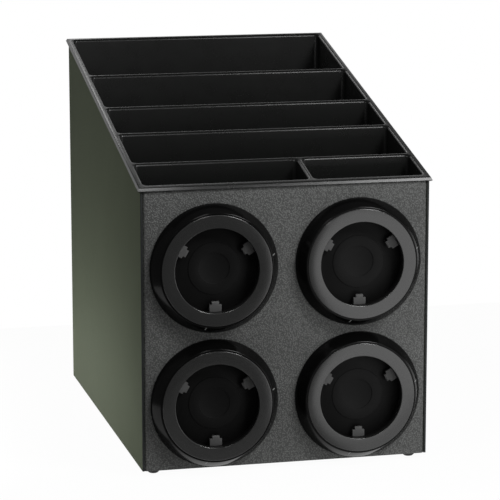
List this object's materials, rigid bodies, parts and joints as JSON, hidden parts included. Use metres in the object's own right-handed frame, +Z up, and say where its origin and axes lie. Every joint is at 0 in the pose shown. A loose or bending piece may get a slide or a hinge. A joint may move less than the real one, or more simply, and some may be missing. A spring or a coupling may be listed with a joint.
{
  "type": "cup dispenser cabinet with organizer tray",
  "caption": "Countertop cabinet with round spring-fed cup dispensers in its front and a sloped organizer tray of open compartments on top.",
  "frame": {"origin": "centre of the footprint, at the undersides of the feet", "axes": "+X to the right, +Y from the front with the dispensers to the rear, +Z up"},
  "size_m": [0.389, 0.557, 0.5123],
  "materials": {
    "painted_panel": "smooth dark olive grey",
    "textured_panel": "fine hair-cell texture, dark grey",
    "tray_plastic": "thermoformed, soft gloss black",
    "gloss_plastic": "polished black",
    "satin_plastic": "satin dark grey",
    "matte_plastic": "matt black",
    "lug_plastic": "matt grey",
    "tube_plastic": "matt black, extruded",
    "rubber_feet": "matt black rubber",
    "steel": "plain drawn steel"
  },
  "bodies": {
    "root": {"left_side_panel": "painted_panel", "right_side_panel": "painted_panel", "front_panel": "textured_panel", "rear_panel": "painted_panel", "bottom_panel": "painted_panel", "tube_bulkhead": "painted_panel", "organizer_tray": "tray_plastic", "front_left_foot": "rubber_feet", "front_left_foot_screw": "steel", "front_right_foot": "rubber_feet", "front_right_foot_screw": "steel", "rear_left_foot": "rubber_feet", "rear_left_foot_screw": "steel", "rear_right_foot": "rubber_feet", "rear_right_foot_screw": "steel", "bezel_screws": "steel", "upper_left_bezel_ring": "gloss_plastic", "upper_left_lug_guide": "matte_plastic", "upper_left_tube": "tube_plastic", "upper_left_end_cap": "matte_plastic", "upper_left_spring": "steel", "upper_right_bezel_ring": "gloss_plastic", "upper_right_lug_guide": "matte_plastic", "upper_right_tube": "tube_plastic", "upper_right_end_cap": "matte_plastic", "upper_right_spring": "steel", "lower_left_bezel_ring": "gloss_plastic", "lower_left_lug_guide": "matte_plastic", "lower_left_tube": "tube_plastic", "lower_left_end_cap": "matte_plastic", "lower_left_spring": "steel", "lower_right_bezel_ring": "gloss_plastic", "lower_right_lug_guide": "matte_plastic", "lower_right_tube": "tube_plastic", "lower_right_end_cap": "matte_plastic", "lower_right_spring": "steel"},
    "upper_left_adjuster": {"upper_left_adjuster_face": "satin_plastic", "upper_left_cam_ring": "matte_plastic"},
    "upper_left_left_lug": {"upper_left_left_lug": "lug_plastic"},
    "upper_left_right_lug": {"upper_left_right_lug": "lug_plastic"},
    "upper_left_lower_lug": {"upper_left_lower_lug": "lug_plastic"},
    "upper_left_pusher": {"upper_left_pusher": "matte_plastic"},
    "upper_right_adjuster": {"upper_right_adjuster_face": "satin_plastic", "upper_right_cam_ring": "matte_plastic"},
    "upper_right_left_lug": {"upper_right_left_lug": "lug_plastic"},
    "upper_right_right_lug": {"upper_right_right_lug": "lug_plastic"},
    "upper_right_lower_lug": {"upper_right_lower_lug": "lug_plastic"},
    "upper_right_pusher": {"upper_right_pusher": "matte_plastic"},
    "lower_left_adjuster": {"lower_left_adjuster_face": "satin_plastic", "lower_left_cam_ring": "matte_plastic"},
    "lower_left_left_lug": {"lower_left_left_lug": "lug_plastic"},
    "lower_left_right_lug": {"lower_left_right_lug": "lug_plastic"},
    "lower_left_lower_lug": {"lower_left_lower_lug": "lug_plastic"},
    "lower_left_pusher": {"lower_left_pusher": "matte_plastic"},
    "lower_right_adjuster": {"lower_right_adjuster_face": "satin_plastic", "lower_right_cam_ring": "matte_plastic"},
    "lower_right_left_lug": {"lower_right_left_lug": "lug_plastic"},
    "lower_right_right_lug": {"lower_right_right_lug": "lug_plastic"},
    "lower_right_lower_lug": {"lower_right_lower_lug": "lug_plastic"},
    "lower_right_pusher": {"lower_right_pusher": "matte_plastic"}
  },
  "joints": [
    {"name": "upper_left_adjuster_turn", "type": "hinge", "parent": "root", "child": "upper_left_adjuster", "pos_m": [-0.0955, -0.2585, 0.2695], "axis": [0, 1, 0], "range_deg": [-40, 40]},
    {"name": "upper_left_left_lug_slide", "type": "slide", "parent": "root", "child": "upper_left_left_lug", "axis": [0.866, 0, -0.5], "range_m": [-0.005, 0.005]},
    {"name": "upper_left_right_lug_slide", "type": "slide", "parent": "root", "child": "upper_left_right_lug", "axis": [-0.866, 0, -0.5], "range_m": [-0.005, 0.005]},
    {"name": "upper_left_lower_lug_slide", "type": "slide", "parent": "root", "child": "upper_left_lower_lug", "axis": [0, 0, 1], "range_m": [-0.005, 0.005]},
    {"name": "upper_left_pusher_slide", "type": "slide", "parent": "root", "child": "upper_left_pusher", "axis": [0, 1, 0], "range_m": [0, 0.42], "stiffness_N_per_m": 15, "springref_m": -0.3, "deforming": ["upper_left_spring"]},
    {"name": "upper_right_adjuster_turn", "type": "hinge", "parent": "root", "child": "upper_right_adjuster", "pos_m": [0.0955, -0.2585, 0.2695], "axis": [0, 1, 0], "range_deg": [-40, 40]},
    {"name": "upper_right_left_lug_slide", "type": "slide", "parent": "root", "child": "upper_right_left_lug", "axis": [0.866, 0, -0.5], "range_m": [-0.005, 0.005]},
    {"name": "upper_right_right_lug_slide", "type": "slide", "parent": "root", "child": "upper_right_right_lug", "axis": [-0.866, 0, -0.5], "range_m": [-0.005, 0.005]},
    {"name": "upper_right_lower_lug_slide", "type": "slide", "parent": "root", "child": "upper_right_lower_lug", "axis": [0, 0, 1], "range_m": [-0.005, 0.005]},
    {"name": "upper_right_pusher_slide", "type": "slide", "parent": "root", "child": "upper_right_pusher", "axis": [0, 1, 0], "range_m": [0, 0.42], "stiffness_N_per_m": 15, "springref_m": -0.3, "deforming": ["upper_right_spring"]},
    {"name": "lower_left_adjuster_turn", "type": "hinge", "parent": "root", "child": "lower_left_adjuster", "pos_m": [-0.0955, -0.2585, 0.093], "axis": [0, 1, 0], "range_deg": [-40, 40]},
    {"name": "lower_left_left_lug_slide", "type": "slide", "parent": "root", "child": "lower_left_left_lug", "axis": [0.866, 0, -0.5], "range_m": [-0.005, 0.005]},
    {"name": "lower_left_right_lug_slide", "type": "slide", "parent": "root", "child": "lower_left_right_lug", "axis": [-0.866, 0, -0.5], "range_m": [-0.005, 0.005]},
    {"name": "lower_left_lower_lug_slide", "type": "slide", "parent": "root", "child": "lower_left_lower_lug", "axis": [0, 0, 1], "range_m": [-0.005, 0.005]},
    {"name": "lower_left_pusher_slide", "type": "slide", "parent": "root", "child": "lower_left_pusher", "axis": [0, 1, 0], "range_m": [0, 0.42], "stiffness_N_per_m": 15, "springref_m": -0.3, "deforming": ["lower_left_spring"]},
    {"name": "lower_right_adjuster_turn", "type": "hinge", "parent": "root", "child": "lower_right_adjuster", "pos_m": [0.0955, -0.2585, 0.093], "axis": [0, 1, 0], "range_deg": [-40, 40]},
    {"name": "lower_right_left_lug_slide", "type": "slide", "parent": "root", "child": "lower_right_left_lug", "axis": [0.866, 0, -0.5], "range_m": [-0.005, 0.005]},
    {"name": "lower_right_right_lug_slide", "type": "slide", "parent": "root", "child": "lower_right_right_lug", "axis": [-0.866, 0, -0.5], "range_m": [-0.005, 0.005]},
    {"name": "lower_right_lower_lug_slide", "type": "slide", "parent": "root", "child": "lower_right_lower_lug", "axis": [0, 0, 1], "range_m": [-0.005, 0.005]},
    {"name": "lower_right_pusher_slide", "type": "slide", "parent": "root", "child": "lower_right_pusher", "axis": [0, 1, 0], "range_m": [0, 0.42], "stiffness_N_per_m": 15, "springref_m": -0.3, "deforming": ["lower_right_spring"]}
  ],
  "couplings": [
    {"joint": "upper_left_left_lug_slide", "follows": "upper_left_adjuster_turn", "m_per_rad": 0.00716},
    {"joint": "upper_left_right_lug_slide", "follows": "upper_left_adjuster_turn", "m_per_rad": 0.00716},
    {"joint": "upper_left_lower_lug_slide", "follows": "upper_left_adjuster_turn", "m_per_rad": 0.00716},
    {"joint": "upper_right_left_lug_slide", "follows": "upper_right_adjuster_turn", "m_per_rad": 0.00716},
    {"joint": "upper_right_right_lug_slide", "follows": "upper_right_adjuster_turn", "m_per_rad": 0.00716},
    {"joint": "upper_right_lower_lug_slide", "follows": "upper_right_adjuster_turn", "m_per_rad": 0.00716},
    {"joint": "lower_left_left_lug_slide", "follows": "lower_left_adjuster_turn", "m_per_rad": 0.00716},
    {"joint": "lower_left_right_lug_slide", "follows": "lower_left_adjuster_turn", "m_per_rad": 0.00716},
    {"joint": "lower_left_lower_lug_slide", "follows": "lower_left_adjuster_turn", "m_per_rad": 0.00716},
    {"joint": "lower_right_left_lug_slide", "follows": "lower_right_adjuster_turn", "m_per_rad": 0.00716},
    {"joint": "lower_right_right_lug_slide", "follows": "lower_right_adjuster_turn", "m_per_rad": 0.00716},
    {"joint": "lower_right_lower_lug_slide", "follows": "lower_right_adjuster_turn", "m_per_rad": 0.00716}
  ]
}
